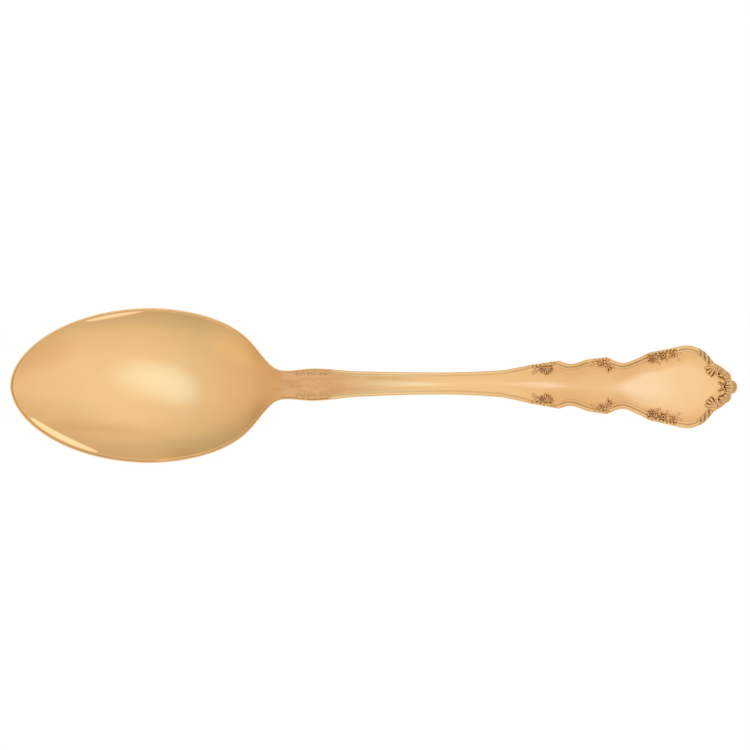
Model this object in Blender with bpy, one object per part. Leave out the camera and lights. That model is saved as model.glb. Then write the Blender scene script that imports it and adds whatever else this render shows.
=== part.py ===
"""Gilt oval soup spoon with a scalloped, flower-trimmed handle.

Run with: blender --background --python part.py
Units are metres and +Z is up. The spoon lies on its back on the plane z = 0, with the bowl towards -X
and the end of the handle towards +X, and its two sides mirror each other across the plane y = 0.
Stations along the spoon are measured from the front of the bowl. Left and right are those of the person
who holds the handle, so right is +Y.
"""

import math

import bmesh
import bpy
import numpy as np

# Overall length, and the bowl
SPOON_LENGTH = 0.1850  # front of the bowl to the end of the finial
BOWL_LENGTH = 0.0705  # front of the bowl to the narrowest part of the neck
BOWL_WIDTH = 0.0394
BOWL_WIDEST = 0.0357  # front of the bowl to its widest part
BOWL_DEPTH = 0.0095  # rim to the inner floor
BOWL_WALL = 0.0014
BOWL_FRONT_HEIGHT = 0.0096  # rim above the table at the front
RIM_BEVEL = 0.0004  # how far the rim's lower edge stands in
FRONT_POINT = 0.53  # power of the front's outline: 0.5 is an ellipse, more is more pointed
# Run of the bowl's outline from its widest part into the neck: share of the way, share of the width left
BOWL_RUN_OUT = ((0.34, 0.91), (0.61, 0.68), (0.735, 0.46), (0.82, 0.235), (0.91, 0.045))
# Long section of the bowl's hollow over the same run: share of the way, share of the depth left
HOLLOW_RUN_OUT = ((0.26, 0.935), (0.52, 0.70), (0.72, 0.40), (0.87, 0.14), (1.0, 0.02), (1.2, 0.0))

# Neck, where the handle laps under the bowl's heel and is soldered to it
NECK_WIDTH = 0.0073
NECK_HEIGHT = 0.0132
HEEL_THICKNESS = 0.0024  # bowl at the neck, on the centre line
HEEL_RUN = 0.0240  # length over which the wall thickens to the heel
TONGUE_THICKNESS = 0.0012  # bowl's tongue, which lies in the handle's rebate
LAP_LENGTH = 0.0060
DROP_LENGTH = 0.0085  # handle's rounded tongue under the heel
DROP_THICKNESS = 0.0011
DROP_TIP_SHARE = 0.35  # part of that thickness left at the drop's tip
DROP_ROUNDING = 0.6  # part of it that the drop loses towards its edges
SOLDER_GAP = 0.00015
STEP_RUN = 0.0001  # length of the slope at each step of the lap

# Stem
COLLAR_FROM_NECK = 0.0065
COLLAR_WIDTH = 0.0083
STEM_TOP_WIDTH = 0.0065
WAIST_WIDTH = 0.0056
FLARE_START_WIDTH = 0.0067
FLARE_END_WIDTH = 0.0102
STEM_STATIONS = (0.18, 0.52, 0.75, 0.90)  # where those four widths lie, from the collar to the lower cusp
ARCH_HEIGHT = 0.0202
STEM_THICKNESS = 0.0030
STEM_CROWN = 0.0006  # rise of the stem's ridge above its edges

# Blade, as a chain of runs from the lower cusp to the end of the handle
LOWER_CUSP_WIDTH = 0.0122
LOWER_CUSP_HEIGHT = 0.0138
LOWER_CUSP_TO_SCALLOP = 0.0030
LOWER_SCALLOP_WIDTH = 0.0107
LOWER_SCALLOP_TO_CUSP = 0.0092
MIDDLE_CUSP_WIDTH = 0.0145
MIDDLE_CUSP_HEIGHT = 0.0091
MIDDLE_CUSP_TO_SCALLOP = 0.0042
UPPER_SCALLOP_WIDTH = 0.0117
UPPER_SCALLOP_TO_FOOT = 0.0068
SHOULDER_FOOT_WIDTH = 0.0173
FOOT_TO_SHOULDER = 0.0098
SHOULDER_WIDTH = 0.0212
SHOULDER_RISE = 0.0008  # back of the shoulder above the table
SHOULDER_TO_NOTCH = 0.0067
CREST_NOTCH_WIDTH = 0.0130
NOTCH_TO_END = 0.0044
BLADE_END_WIDTH = 0.0061
# How far the outline has gone, half way along a run, from its first width to its last
LOWER_SCALLOP_BULGE = 0.68
UPPER_SCALLOP_BULGE = 0.41
FOOT_BULGE = 0.53
SHOULDER_BULGE = 0.24
BLADE_THICKNESS = 0.0024
BLADE_CROWN = 0.0003
BACK_ROUNDING = 0.45  # part of the thickness that the back loses towards its edges
REST_FLAT = 0.0003  # depth to which the bowl and the handle's end are flattened where they rest

# Applied ornament: sprays of flowers, border rails and the crest at the end
SPRAY_HEIGHT = 0.0010
SPRAY_LIE = 0.0015  # reach each way over which a spray takes its lie from the outline
NECK_SPRAY_LENGTH = 0.0105
NECK_SPRAY_WIDTH = 0.0016
NECK_SPRAY_LOBES = 10
LOWER_SPRAY_LENGTH = 0.0080
LOWER_SPRAY_WIDTH = 0.0034
LOWER_SPRAY_LOBES = 9
LOWER_SPRAY_BEFORE_CUSP = 0.0026
MIDDLE_SPRAY_LENGTH = 0.0058
MIDDLE_SPRAY_WIDTH = 0.0030
MIDDLE_SPRAY_LOBES = 8
UPPER_SPRAY_LENGTH = 0.0094
UPPER_SPRAY_WIDTH = 0.0035
UPPER_SPRAY_LOBES = 10
UPPER_SPRAY_AFTER_FOOT = 0.0029
RAIL_WIDTH = 0.0009
RAIL_HEIGHT = 0.00045
RAIL_INSET = 0.0007  # outline to the middle of the rail
RAIL_END = 0.7  # part of the rail's section left at its ends
RAIL_CLEARANCE = 0.0003  # end of a rail to the spray or leaf that it runs up to
CREST_LEAF_LENGTH = 0.0034
CREST_LEAF_WIDTH = 0.0032
CREST_LEAF_LOBES = 7
CREST_LEAF_FROM_NOTCH = 0.0015
CREST_BUD_LENGTH = 0.0028
CREST_BUD_WIDTH = 0.0022
CREST_BUD_LOBES = 6
CREST_BUD_AFTER_NOTCH = 0.0012
SHELL_LENGTH = 0.0034
SHELL_WIDTH = 0.0042
SHELL_LOBES = 9
SHELL_FROM_END = 0.0023
FINIAL_LENGTH = 0.0016
FINIAL_WIDTH = 0.0041
FINIAL_HEIGHT = 0.0030
FINIAL_TIP = 0.12  # part of the width left at its very end
EDGE_HEIGHT = 0.00015  # least thickness of an ornament, at its border
LOBE_DEPTH = 0.18  # depth of the notches in an ornament's outline, as part of its reach
CREASE_DEPTH = 0.40  # depth of the creases between petals, as part of the height

# Fineness of the faceted surfaces
SECTION_TOP_POINTS = 13
SECTION_BACK_POINTS = 13
FRONT_STATIONS = 18
FRONT_TIP = 0.00002  # first section of the bowl, behind its very front
DROP_TIP = 0.02  # first section of the drop, as a share of its length
BOWL_STEP = 0.0022
LAP_STEP = 0.0015
RAIL_STEP = 0.0008
BLADE_STEP = 0.0010
STEM_STEP = 0.0025
BOSS_TOP_RINGS = (1.0, 0.82, 0.62, 0.40, 0.18)
BOSS_BACK_RINGS = (0.3, 1.0)
FINIAL_RINGS = (0.0, 0.3, 0.55, 0.75, 0.9, 0.98, 1.0)
FINIAL_SIDES = 16
RAIL_SIDES = 7
POINTS_PER_LOBE = 4
SIDES = {"left": -1.0, "right": 1.0}

# Stations that follow from the lengths above
neck_at = BOWL_LENGTH
lap_end_at = neck_at + LAP_LENGTH
drop_at = neck_at - DROP_LENGTH
collar_at = neck_at + COLLAR_FROM_NECK
blade_end_at = SPOON_LENGTH - FINIAL_LENGTH
notch_at = blade_end_at - NOTCH_TO_END
shoulder_at = notch_at - SHOULDER_TO_NOTCH
foot_at = shoulder_at - FOOT_TO_SHOULDER
upper_scallop_at = foot_at - UPPER_SCALLOP_TO_FOOT
middle_cusp_at = upper_scallop_at - MIDDLE_CUSP_TO_SCALLOP
lower_scallop_at = middle_cusp_at - LOWER_SCALLOP_TO_CUSP
lower_cusp_at = lower_scallop_at - LOWER_CUSP_TO_SCALLOP
lower_spray_at = lower_cusp_at - LOWER_SPRAY_BEFORE_CUSP
upper_spray_at = foot_at + UPPER_SPRAY_AFTER_FOOT
stem_run = lower_cusp_at - collar_at
stem_top_at, waist_at, flare_start_at, flare_end_at = (
    collar_at + share * stem_run for share in STEM_STATIONS
)
neck_thickness = HEEL_THICKNESS + SOLDER_GAP + DROP_THICKNESS


# Curves through points

def steady_curve(points, level_start=False):
    """Curve through the points that never overshoots between them (monotone cubic)."""
    at, value = np.array(points, float).T
    step = np.diff(at)
    secant = np.diff(value) / step
    slope = np.zeros(len(at))
    slope[0] = 0.0 if level_start else secant[0]
    slope[-1] = secant[-1]
    for i in range(1, len(at) - 1):
        if secant[i - 1] * secant[i] > 0:
            before, after = 2 * step[i] + step[i - 1], step[i] + 2 * step[i - 1]
            slope[i] = (before + after) / (before / secant[i - 1] + after / secant[i])

    def curve(s):
        i = np.clip(np.searchsorted(at, s) - 1, 0, len(step) - 1)
        t = (s - at[i]) / step[i]
        rise = value[i] * (1 + 2 * t) * (1 - t) ** 2 + value[i + 1] * t * t * (3 - 2 * t)
        return rise + step[i] * t * (1 - t) * (slope[i] * (1 - t) - slope[i + 1] * t)

    return curve


def flowing_curve(points):
    """Curve through the points whose bend changes smoothly (natural cubic spline)."""
    at, value = np.array(points, float).T
    step = np.diff(at)
    system, load = np.eye(len(at)), np.zeros(len(at))
    for i in range(1, len(at) - 1):
        system[i, i - 1 : i + 2] = step[i - 1], 2 * (step[i - 1] + step[i]), step[i]
        load[i] = 6 * ((value[i + 1] - value[i]) / step[i] - (value[i] - value[i - 1]) / step[i - 1])
    bend = np.linalg.solve(system, load)

    def curve(s):
        i = np.clip(np.searchsorted(at, s) - 1, 0, len(step) - 1)
        a = (at[i + 1] - s) / step[i]
        b = 1 - a
        bending = ((a**3 - a) * bend[i] + (b**3 - b) * bend[i + 1]) * step[i] ** 2 / 6
        return a * value[i] + b * value[i + 1] + bending

    return curve


# Outline: half of the spoon's width at each station

def half_run(start_at, start_width, end_at, end_width, middle_share):
    """A point half way along a run of the outline, part of the way from one half width to the other."""
    half_width = (start_width + middle_share * (end_width - start_width)) / 2
    return (start_at + end_at) / 2, half_width


def run_into_neck():
    """Points of the outline from the widest part of the bowl to the neck."""
    run, drop = neck_at - BOWL_WIDEST, (BOWL_WIDTH - NECK_WIDTH) / 2
    middle = [(BOWL_WIDEST + along * run, NECK_WIDTH / 2 + left * drop) for along, left in BOWL_RUN_OUT]
    return [(BOWL_WIDEST, BOWL_WIDTH / 2), *middle, (neck_at, NECK_WIDTH / 2)]


stem_outline = [
    (collar_at, COLLAR_WIDTH / 2),
    (stem_top_at, STEM_TOP_WIDTH / 2),
    (waist_at, WAIST_WIDTH / 2),
    (flare_start_at, FLARE_START_WIDTH / 2),
    (flare_end_at, FLARE_END_WIDTH / 2),
    (lower_cusp_at, LOWER_CUSP_WIDTH / 2),
]
lower_scallop_outline = [
    (lower_cusp_at, LOWER_CUSP_WIDTH / 2),
    (lower_scallop_at, LOWER_SCALLOP_WIDTH / 2),
    half_run(lower_scallop_at, LOWER_SCALLOP_WIDTH, middle_cusp_at, MIDDLE_CUSP_WIDTH, LOWER_SCALLOP_BULGE),
    (middle_cusp_at, MIDDLE_CUSP_WIDTH / 2),
]
upper_scallop_outline = [
    (middle_cusp_at, MIDDLE_CUSP_WIDTH / 2),
    (upper_scallop_at, UPPER_SCALLOP_WIDTH / 2),
    half_run(upper_scallop_at, UPPER_SCALLOP_WIDTH, foot_at, SHOULDER_FOOT_WIDTH, UPPER_SCALLOP_BULGE),
    (foot_at, SHOULDER_FOOT_WIDTH / 2),
]
shoulder_outline = [
    (foot_at, SHOULDER_FOOT_WIDTH / 2),
    half_run(foot_at, SHOULDER_FOOT_WIDTH, shoulder_at, SHOULDER_WIDTH, FOOT_BULGE),
    (shoulder_at, SHOULDER_WIDTH / 2),
    half_run(shoulder_at, SHOULDER_WIDTH, notch_at, CREST_NOTCH_WIDTH, SHOULDER_BULGE),
    (notch_at, CREST_NOTCH_WIDTH / 2),
]
crest_outline = [(notch_at, CREST_NOTCH_WIDTH / 2), (blade_end_at, BLADE_END_WIDTH / 2)]
outline_spans = [
    (lower_cusp_at, steady_curve(run_into_neck() + stem_outline, level_start=True)),
    (middle_cusp_at, steady_curve(lower_scallop_outline)),
    (foot_at, steady_curve(upper_scallop_outline)),
    (notch_at, steady_curve(shoulder_outline)),
    (SPOON_LENGTH, steady_curve(crest_outline)),
]


def half_width(s):
    """Distance from the centre line to the outline."""
    if s < BOWL_WIDEST:
        forward = 1 - s / BOWL_WIDEST
        return BOWL_WIDTH / 2 * (1 - forward * forward) ** FRONT_POINT
    for end_at, curve in outline_spans:
        if s <= end_at:
            return float(curve(s))
    return BLADE_END_WIDTH / 2


# Surfaces: heights of the front and the back of the spoon

spine = flowing_curve([
    (0.0, BOWL_FRONT_HEIGHT),
    (BOWL_WIDEST, BOWL_DEPTH + BOWL_WALL - REST_FLAT),
    (neck_at, NECK_HEIGHT),
    (waist_at, ARCH_HEIGHT),
    (lower_cusp_at, LOWER_CUSP_HEIGHT),
    (middle_cusp_at, MIDDLE_CUSP_HEIGHT),
    (shoulder_at, BLADE_THICKNESS + SHOULDER_RISE),
    (SPOON_LENGTH, BLADE_THICKNESS - REST_FLAT),
])
plain_width = steady_curve([
    (neck_at, NECK_WIDTH),
    (collar_at, COLLAR_WIDTH),
    (waist_at, WAIST_WIDTH),
    (lower_cusp_at, LOWER_CUSP_WIDTH),
    (shoulder_at, SHOULDER_WIDTH),
    (SPOON_LENGTH, SHOULDER_WIDTH),
])
crown_rise = steady_curve([
    (neck_at, 0.0),
    (waist_at, STEM_CROWN),
    (lower_cusp_at, BLADE_CROWN),
    (SPOON_LENGTH, BLADE_CROWN),
])
handle_thickness = steady_curve([
    (neck_at, neck_thickness),
    (waist_at, STEM_THICKNESS),
    (lower_cusp_at, BLADE_THICKNESS),
    (SPOON_LENGTH, BLADE_THICKNESS),
])
hollow_run = neck_at - BOWL_WIDEST
hollow_tail = steady_curve(
    [(BOWL_WIDEST, 1.0)] + [(BOWL_WIDEST + along * hollow_run, left) for along, left in HOLLOW_RUN_OUT],
    level_start=True,
)
hollow_end_at = BOWL_WIDEST + HOLLOW_RUN_OUT[-1][0] * hollow_run


def hollow(s, y):
    """Depth of the bowl's hollow below the rim."""
    if s >= hollow_end_at:
        return 0.0
    forward = 1 - s / BOWL_WIDEST
    along = 1 - forward * forward if s < BOWL_WIDEST else float(hollow_tail(s))
    across = y / half_width(s)
    return BOWL_DEPTH * along * max(0.0, 1 - across * across)


def front(s, y):
    """Height of the front of the spoon: the rim line, less the hollow, plus the handle's crown."""
    crown = 0.0
    if s > neck_at:
        reach = plain_width(s) / 2 - RAIL_INSET
        crown = float(crown_rise(s)) * max(0.0, 1 - (y / reach) ** 2) ** 2
    return float(spine(s)) - hollow(s, y) + crown


def bowl_back(s, y):
    """Height of the bowl's back, flattened where it rests on the table."""
    heel = min(1.0, max(0.0, (s - neck_at + HEEL_RUN) / HEEL_RUN))
    across = min(1.0, abs(y) / half_width(s))
    wall = BOWL_WALL + (HEEL_THICKNESS - BOWL_WALL) * heel * heel * (1 - across * across)
    return max(0.0, front(s, y) - wall)


def handle_back(s, y):
    """Height of the handle's back, rounded towards its edges and flattened where it rests on the table."""
    across = y / (plain_width(s) / 2)
    return max(0.0, float(spine(s)) - float(handle_thickness(s)) * (1 - BACK_ROUNDING * across * across))


def lap_split(s):
    """Middle of the solder seam between the bowl's tongue and the handle's rebate."""
    return float(spine(s)) - TONGUE_THICKNESS - SOLDER_GAP / 2


# Building solids

def gilt(name, colour, roughness):
    """Gilded metal: a Principled BSDF with that colour."""
    material = bpy.data.materials.new(name)
    material.use_nodes = True
    shader = material.node_tree.nodes["Principled BSDF"]
    shader.inputs["Base Color"].default_value = (*colour, 1.0)
    shader.inputs["Metallic"].default_value = 1.0
    shader.inputs["Roughness"].default_value = roughness
    return material


def loft(name, loops, material, holder):
    """One closed solid through loops of (station, across, height) points, with a cap on each end."""
    places = np.array(loops, float)
    places[:, :, 0] -= SPOON_LENGTH / 2
    origin = places.reshape(-1, 3).mean(axis=0)
    form = bmesh.new()
    rings = [[form.verts.new(point - origin) for point in loop] for loop in places]
    for ring, following in zip(rings, rings[1:]):
        for i in range(len(ring)):
            form.faces.new((ring[i - 1], ring[i], following[i], following[i - 1]))
    form.faces.new(rings[0])
    form.faces.new(rings[-1])
    bmesh.ops.recalc_face_normals(form, faces=form.faces[:])
    mesh = bpy.data.meshes.new(name)
    form.to_mesh(mesh)
    form.free()
    mesh.shade_smooth()
    mesh.set_sharp_from_angle(angle=math.radians(35))
    mesh.materials.append(material)
    piece = bpy.data.objects.new(name, mesh)
    piece.location = origin
    piece.parent = holder
    bpy.context.scene.collection.objects.link(piece)
    return piece


def section(s, half, upper, lower, bevel=0.0):
    """Closed loop across the spoon at one station, between an upper and a lower surface."""
    turns = np.linspace(-math.pi / 2, math.pi / 2, SECTION_TOP_POINTS)
    loop = [(s, y, upper(s, y)) for y in half * np.sin(turns)]
    inner = max(half - bevel, half / 2)
    return loop + [(s, y, lower(s, y)) for y in np.linspace(inner, -inner, SECTION_BACK_POINTS)]


def evenly(start, end, step):
    """Stations from start to end, no further apart than step."""
    runs = math.ceil(round((end - start) / step, 6))
    return list(np.linspace(start, end, max(1, runs) + 1))


def bowl(material, holder):
    """The dished bowl, with its heel and the tongue that lies in the handle's rebate."""
    front_turns = np.linspace(math.acos(1 - FRONT_TIP / BOWL_WIDEST), math.pi / 2, FRONT_STATIONS)
    stations = [BOWL_WIDEST * (1 - math.cos(turn)) for turn in front_turns]
    stations += evenly(BOWL_WIDEST, neck_at - STEP_RUN, BOWL_STEP)[1:]
    loops = [section(s, half_width(s), front, bowl_back, RIM_BEVEL) for s in stations]
    for s in evenly(neck_at, lap_end_at, LAP_STEP):
        loops.append(section(s, half_width(s), front, lambda at, y: lap_split(at) + SOLDER_GAP / 2))
    return loft("bowl", loops, material, holder)


def drop_section(s):
    """Section of the handle's rounded tongue, which follows the back of the bowl's heel."""
    share = min(1.0, (s - drop_at) / DROP_LENGTH)
    half = NECK_WIDTH / 2 * math.sqrt(max(0.0, 1 - (1 - share) ** 2))
    depth = DROP_THICKNESS * (DROP_TIP_SHARE + (1 - DROP_TIP_SHARE) * share)
    blend = share * share * (3 - 2 * share)

    def against_heel(at, y):
        return bowl_back(at, y) - SOLDER_GAP

    def outside(at, y):
        drop = against_heel(at, y) - depth * (1 - DROP_ROUNDING * (y / half) ** 2)
        return drop + blend * (handle_back(at, y) - drop)

    return section(s, half, against_heel, outside)


def handle(material, holder):
    """Stem and blade in one forging, from the drop under the bowl's heel to the end of the blade."""
    lap_start = neck_at + SOLDER_GAP
    rebate_end = lap_end_at + SOLDER_GAP
    loops = [drop_section(s) for s in evenly(drop_at + DROP_LENGTH * DROP_TIP, lap_start, LAP_STEP)]
    for s in evenly(lap_start + STEP_RUN, rebate_end, LAP_STEP):
        loops.append(section(s, half_width(s), lambda at, y: lap_split(at) - SOLDER_GAP / 2, handle_back))
    turning_points = (rebate_end + STEP_RUN, flare_start_at, lower_cusp_at, middle_cusp_at, foot_at, notch_at)
    ends = turning_points[1:] + (blade_end_at,)
    for start, end in zip(turning_points, ends):
        step = STEM_STEP if end <= flare_start_at else BLADE_STEP
        for s in evenly(start, end, step)[: None if end == blade_end_at else -1]:
            loops.append(section(s, half_width(s), front, handle_back))
    return loft("handle", loops, material, holder)


# Applied ornament

def boss(name, centre, turn, size, lobes, side, material, holder):
    """Lobed, creased ornament on the front of the spoon: a flower spray, leaf, bud or shell."""
    length, width = size
    turns = np.linspace(0, 2 * math.pi, lobes * POINTS_PER_LOBE, endpoint=False)

    def ring(share, lift):
        loop = []
        for angle in turns:
            reach = share * (1 - LOBE_DEPTH * (0.5 - 0.5 * math.cos(lobes * angle)))
            along = reach * length / 2 * math.cos(angle)
            across = reach * width / 2 * math.sin(angle)
            s = centre[0] + along * math.cos(turn) - across * math.sin(turn)
            y = centre[1] + along * math.sin(turn) + across * math.cos(turn)
            loop.append((s, side * y, front(s, y) + SOLDER_GAP + lift(share, angle)))
        return loop

    def petals(share, angle):
        dome = math.sqrt(1 - share * share)
        crease = 0.5 - 0.5 * math.cos(lobes * angle + 2 * math.pi * (1 - share))
        depth = CREASE_DEPTH * math.sin(math.pi * share**0.7)
        return EDGE_HEIGHT + (SPRAY_HEIGHT - EDGE_HEIGHT) * dome * (1 - depth * crease)

    loops = [ring(share, lambda *place: 0.0) for share in BOSS_BACK_RINGS]
    loops += [ring(share, petals) for share in BOSS_TOP_RINGS]
    return loft(name, loops, material, holder)


def outline_slope(s, reach=RAIL_STEP / 2):
    """Slope of the outline, taken over a short reach."""
    return (half_width(s + reach) - half_width(s - reach)) / (2 * reach)


def spray_place(station, width):
    """Centre and turn of a spray whose outer side lies along the outline."""
    turn = math.atan(outline_slope(station, SPRAY_LIE))
    return (station, half_width(station) - width / 2 / math.cos(turn)), turn


def rail(name, start, end, step, side, material, holder):
    """Half-round border moulding that follows the outline between two stations."""
    stations = evenly(start, end, step)
    loops = []
    for i, s in enumerate(stations):
        slope = outline_slope(s)
        inward = np.array((slope, -1.0)) / math.hypot(slope, 1.0)
        middle = np.array((s, half_width(s))) + RAIL_INSET * inward
        full = RAIL_END if i in (0, len(stations) - 1) else 1.0
        loop = []
        for turn in np.linspace(0, math.pi, RAIL_SIDES):
            at, y = middle + inward * (full * RAIL_WIDTH / 2 * math.cos(turn))
            lift = SOLDER_GAP + full * RAIL_HEIGHT * math.sin(turn)
            loop.append((at, side * y, front(at, y) + lift))
        loops.append(loop)
    return loft(name, loops, material, holder)


def finial(material, holder):
    """Bud soldered to the end of the blade."""
    start = blade_end_at + SOLDER_GAP
    loops = []
    for share in FINIAL_RINGS:
        s = start + share * (SPOON_LENGTH - start)
        swell = max(FINIAL_TIP, math.sqrt(1 - share * share))
        loop = []
        for turn in np.linspace(0, 2 * math.pi, FINIAL_SIDES, endpoint=False):
            height = FINIAL_HEIGHT / 2 * (1 + swell * math.sin(turn))
            loop.append((s, FINIAL_WIDTH / 2 * swell * math.cos(turn), height))
        loops.append(loop)
    return loft("finial", loops, material, holder)


def sprays_and_rails(spray_metal, rail_metal, holder):
    """Four sprays on each edge of the handle, joined by the stem threads and the border rails."""
    sprays = [
        ("neck_spray", collar_at, (NECK_SPRAY_LENGTH, NECK_SPRAY_WIDTH), NECK_SPRAY_LOBES),
        ("lower_rose_spray", lower_spray_at, (LOWER_SPRAY_LENGTH, LOWER_SPRAY_WIDTH), LOWER_SPRAY_LOBES),
        ("middle_rose_spray", middle_cusp_at, (MIDDLE_SPRAY_LENGTH, MIDDLE_SPRAY_WIDTH), MIDDLE_SPRAY_LOBES),
        ("upper_rose_spray", upper_spray_at, (UPPER_SPRAY_LENGTH, UPPER_SPRAY_WIDTH), UPPER_SPRAY_LOBES),
    ]
    leaf_start = notch_at - CREST_LEAF_FROM_NOTCH
    ends = [at - size[0] / 2 - RAIL_CLEARANCE for _, at, size, _ in sprays[1:]] + [leaf_start]
    rails = ("stem_thread", "lower_rail", "middle_rail", "upper_rail")
    for hand, side in SIDES.items():
        for (name, at, size, lobes), rail_name, rail_end in zip(sprays, rails, ends):
            centre, turn = spray_place(at, size[1])
            boss(f"{name}_{hand}", centre, turn, size, lobes, side, spray_metal, holder)
            rail_start = at + size[0] / 2 + RAIL_CLEARANCE
            step = STEM_STEP if rail_name == "stem_thread" else RAIL_STEP
            rail(f"{rail_name}_{hand}", rail_start, rail_end, step, side, rail_metal, holder)


def crest(spray_metal, holder):
    """Leaves and buds round the end of the blade, with a shell between them."""
    leaf_at = notch_at - CREST_LEAF_FROM_NOTCH
    bud_at = notch_at + CREST_BUD_AFTER_NOTCH
    leaf_y = half_width(notch_at) - RAIL_INSET - RAIL_WIDTH - CREST_LEAF_WIDTH / 2
    bud_y = half_width(bud_at) - CREST_BUD_WIDTH / 2
    leaf_size = (CREST_LEAF_LENGTH, CREST_LEAF_WIDTH)
    bud_size = (CREST_BUD_LENGTH, CREST_BUD_WIDTH)
    bud_turn = math.atan(outline_slope(bud_at))
    for hand, side in SIDES.items():
        leaf_name, bud_name = f"crest_leaf_{hand}", f"crest_bud_{hand}"
        boss(leaf_name, (leaf_at, leaf_y), 0.0, leaf_size, CREST_LEAF_LOBES, side, spray_metal, holder)
        boss(bud_name, (bud_at, bud_y), bud_turn, bud_size, CREST_BUD_LOBES, side, spray_metal, holder)
    shell_centre = (blade_end_at - SHELL_FROM_END, 0.0)
    shell_size = (SHELL_LENGTH, SHELL_WIDTH)
    boss("crest_shell", shell_centre, 0.0, shell_size, SHELL_LOBES, 1.0, spray_metal, holder)


def build():
    for old in list(bpy.data.objects):
        bpy.data.objects.remove(old)
    holder = bpy.data.objects.new("spoon", None)
    bpy.context.scene.collection.objects.link(holder)
    polished = gilt("polished_gilt", (0.80, 0.52, 0.22), 0.16)
    struck = gilt("struck_gilt", (0.62, 0.36, 0.13), 0.30)
    moulded = gilt("moulded_gilt", (0.74, 0.46, 0.18), 0.20)
    bowl(polished, holder)
    handle(polished, holder)
    sprays_and_rails(struck, moulded, holder)
    crest(struck, holder)
    finial(moulded, holder)


build()
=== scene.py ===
import math

import bpy
import numpy as np
from mathutils import Matrix, Vector


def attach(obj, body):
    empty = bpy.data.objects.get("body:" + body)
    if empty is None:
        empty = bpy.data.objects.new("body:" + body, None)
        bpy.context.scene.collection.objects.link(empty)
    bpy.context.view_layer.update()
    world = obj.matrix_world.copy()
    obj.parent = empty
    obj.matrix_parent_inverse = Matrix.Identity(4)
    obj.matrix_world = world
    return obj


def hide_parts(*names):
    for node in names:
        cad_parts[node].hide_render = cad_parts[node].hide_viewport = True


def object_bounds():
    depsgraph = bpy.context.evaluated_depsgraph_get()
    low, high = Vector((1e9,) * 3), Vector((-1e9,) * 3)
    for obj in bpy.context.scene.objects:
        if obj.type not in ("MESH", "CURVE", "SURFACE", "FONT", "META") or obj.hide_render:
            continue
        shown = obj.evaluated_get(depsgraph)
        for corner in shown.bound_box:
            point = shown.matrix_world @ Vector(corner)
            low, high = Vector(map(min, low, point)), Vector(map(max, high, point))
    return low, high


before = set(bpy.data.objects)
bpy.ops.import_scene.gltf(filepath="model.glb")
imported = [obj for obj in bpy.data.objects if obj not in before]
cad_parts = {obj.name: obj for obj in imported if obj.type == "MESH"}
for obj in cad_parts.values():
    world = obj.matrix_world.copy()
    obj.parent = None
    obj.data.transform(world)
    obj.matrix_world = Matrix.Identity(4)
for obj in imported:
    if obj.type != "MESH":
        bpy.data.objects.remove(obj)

cad_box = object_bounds()

# Bowl and handle: gold-plated brass, struck in steel dies, the bowl dished, the edges rounded and
# polished, and the two soldered at the neck so that no seam shows. Lengths are in millimetres from the
# bowl's front, s along the spoon, y across it and z up; a finished mesh is turned to metres in the frame.

MM = 0.001
SPOON_LENGTH = (cad_box[1][0] - cad_box[0][0]) / MM
BOWL_WIDEST = 35.7
BOWL_HALF_WIDTH = 19.7
BOWL_DEPTH = 9.5
BOWL_WALL = 1.4
FRONT_POINT = 0.54
RIM_WIDTH = 0.8
NECK_EDGE_WIDTH = 0.55
EDGE_WIDTH = 0.34
NECK_AT = 70.5
NECK_HALF_WIDTH = 3.65
SEAM_AT = 73.5
COLLAR_AT = 77.0
COLLAR_HALF_WIDTH = 4.15
WAIST_AT = 109.4
WAIST_HALF_WIDTH = 2.8
BLADE_FROM = 130.0
LOWER_CUSP_AT = 139.3
MIDDLE_CUSP_AT = 151.5
FOOT_AT = 162.5
SHOULDER_AT = 172.3
NOTCH_AT = 179.05
BLADE_END_AT = 183.5
END_CORNER = 1.25
END_CORNER_POWER = 2.5
LEAST_HALF_WIDTH = 0.3
BACK_ROUNDING = 0.45
HEEL_THINNING = 0.6
HEEL_BLEND_FROM = 62.0
CROWN_INSET = 0.7
CROWN_STATIONS = (128.0, 148.0)
CROWN_FALLS = (2.0, 1.0)
CUSP_ROUND = 0.28
CUSPS_FROM = 128.0
CUSPS_EASE = 6.0

# Section of the rim from the bowl's hollow round to its back, as shares of the rim's width and the wall: a
# bevel from the last polishing, a round edge and the turn to the back
RIM_SECTION = ((0.03, -0.004), (0.07, 0.008), (0.3, 0.13), (0.55, 0.265), (0.75, 0.375), (0.88, 0.465),
               (0.96, 0.56), (1.0, 0.66), (0.97, 0.76), (0.85, 0.85), (0.6, 0.94))

# Where the rim's width changes from the bowl over the neck to the stem
RIM_WIDTHS = ((60.0, NECK_AT, 80.0, 86.0), (RIM_WIDTH, NECK_EDGE_WIDTH, NECK_EDGE_WIDTH, EDGE_WIDTH))

# Rings of points between the spine and the rim, closer together outwards, with one last ring by the rim
RING_COUNT = 27
RING_BUNCHING = 1.35
LAST_RING = 0.997

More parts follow.
